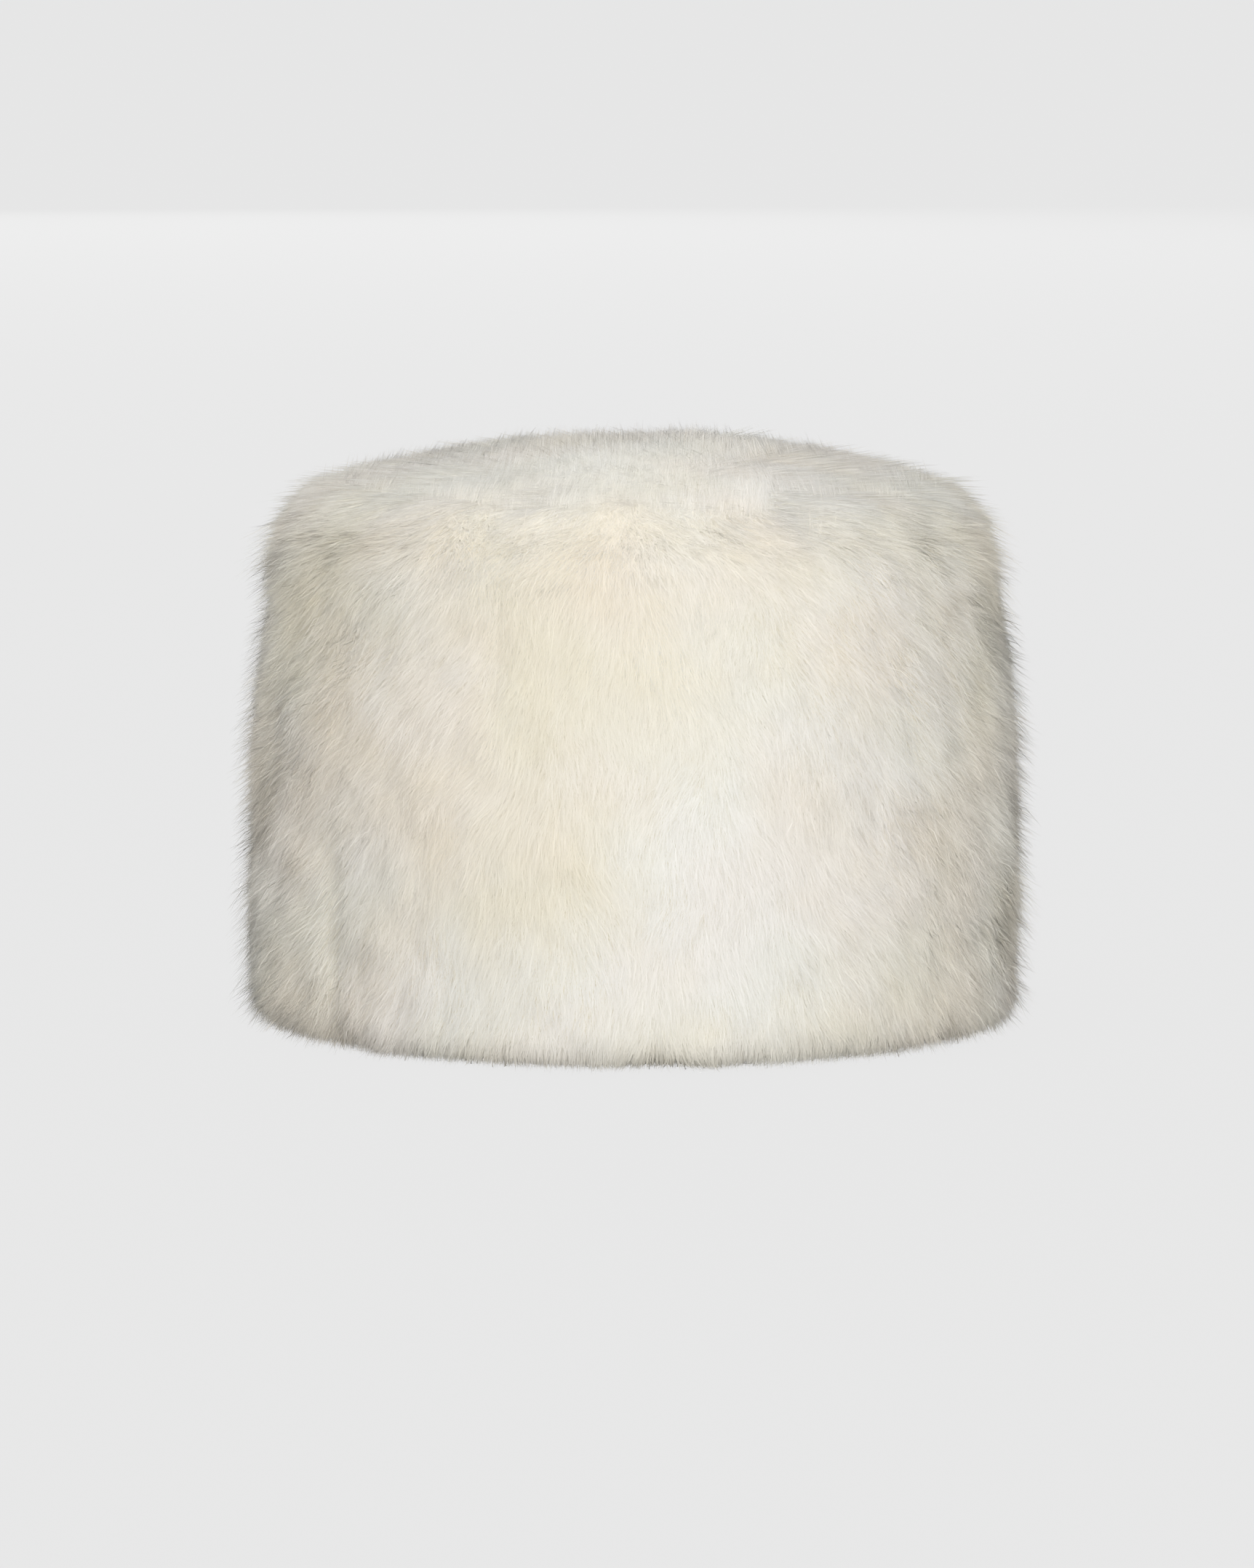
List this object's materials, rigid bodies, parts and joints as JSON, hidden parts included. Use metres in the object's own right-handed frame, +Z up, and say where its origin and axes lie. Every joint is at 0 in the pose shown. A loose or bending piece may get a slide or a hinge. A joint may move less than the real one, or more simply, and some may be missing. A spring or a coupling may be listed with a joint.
{
  "type": "shearling hat",
  "caption": "Tall round sheepskin winter hat with deep cream wool outside, a flat oval crown and a bare suede inside, open below for the head.",
  "frame": {"origin": "on the floor, under the middle of the hat", "axes": "+Z up, front of the hat towards -Y, +X to the right of the picture"},
  "size_m": [0.229, 0.2474, 0.171],
  "materials": {
    "suede": "suede nap, matt",
    "wool": "cream wool pile, matt"
  },
  "bodies": {
    "root": {"band_skin": "suede", "tip_skin": "suede", "band_fleece": "wool", "tip_fleece": "wool"}
  },
  "joints": []
}
